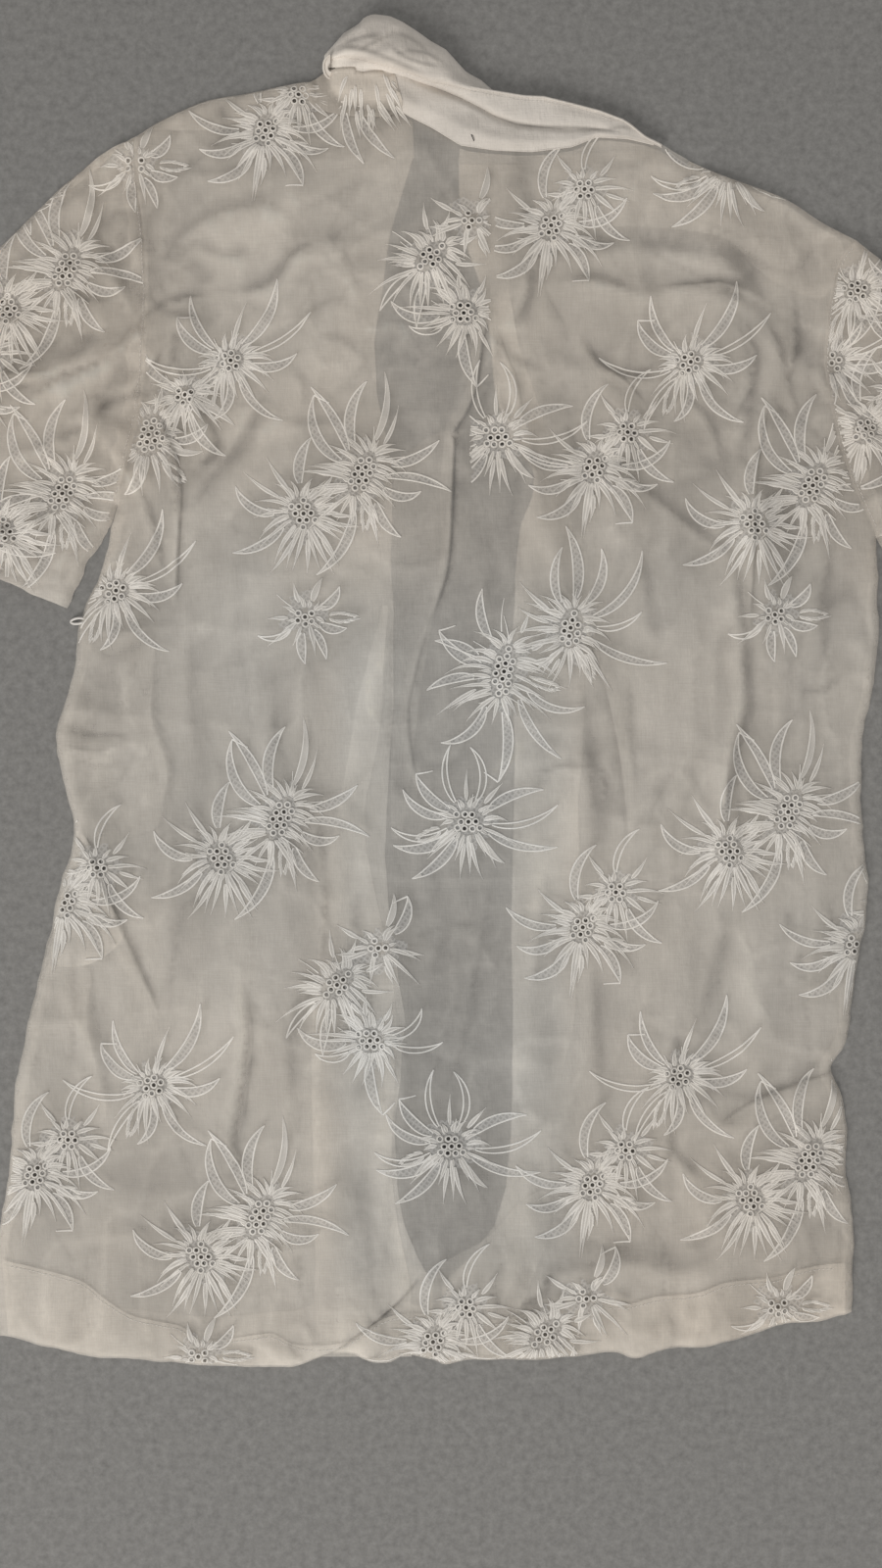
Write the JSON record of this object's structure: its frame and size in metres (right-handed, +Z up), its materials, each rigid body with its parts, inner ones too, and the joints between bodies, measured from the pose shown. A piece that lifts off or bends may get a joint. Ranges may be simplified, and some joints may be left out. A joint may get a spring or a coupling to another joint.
{
  "type": "short-sleeved embroidered shirt laid flat, back upwards",
  "caption": "Sheer white cotton folk shirt with raised flower embroidery, a turn-over collar and a back pleat, laid flat face down.",
  "frame": {"origin": "middle of the laid-out shirt, on the surface it lies on", "axes": "+Y from the hem to the collar, +X to the right as seen from above, +Z up from the surface through the back"},
  "size_m": [0.799, 0.819, 0.026],
  "materials": {
    "batiste": "sheer off-white cotton batiste, matt, seen through",
    "collar_cloth": "the same batiste doubled, matt",
    "embroidery_thread": "white satin-stitch thread with a soft sheen"
  },
  "bodies": {
    "root": {"back": "batiste", "front_left": "batiste", "front_right": "batiste", "facing_left": "batiste", "facing_right": "batiste", "sleeve_left": "batiste", "sleeve_right": "batiste", "collar_stand": "collar_cloth", "collar_fall": "collar_cloth", "collar_end_left": "collar_cloth"}
  },
  "joints": []
}
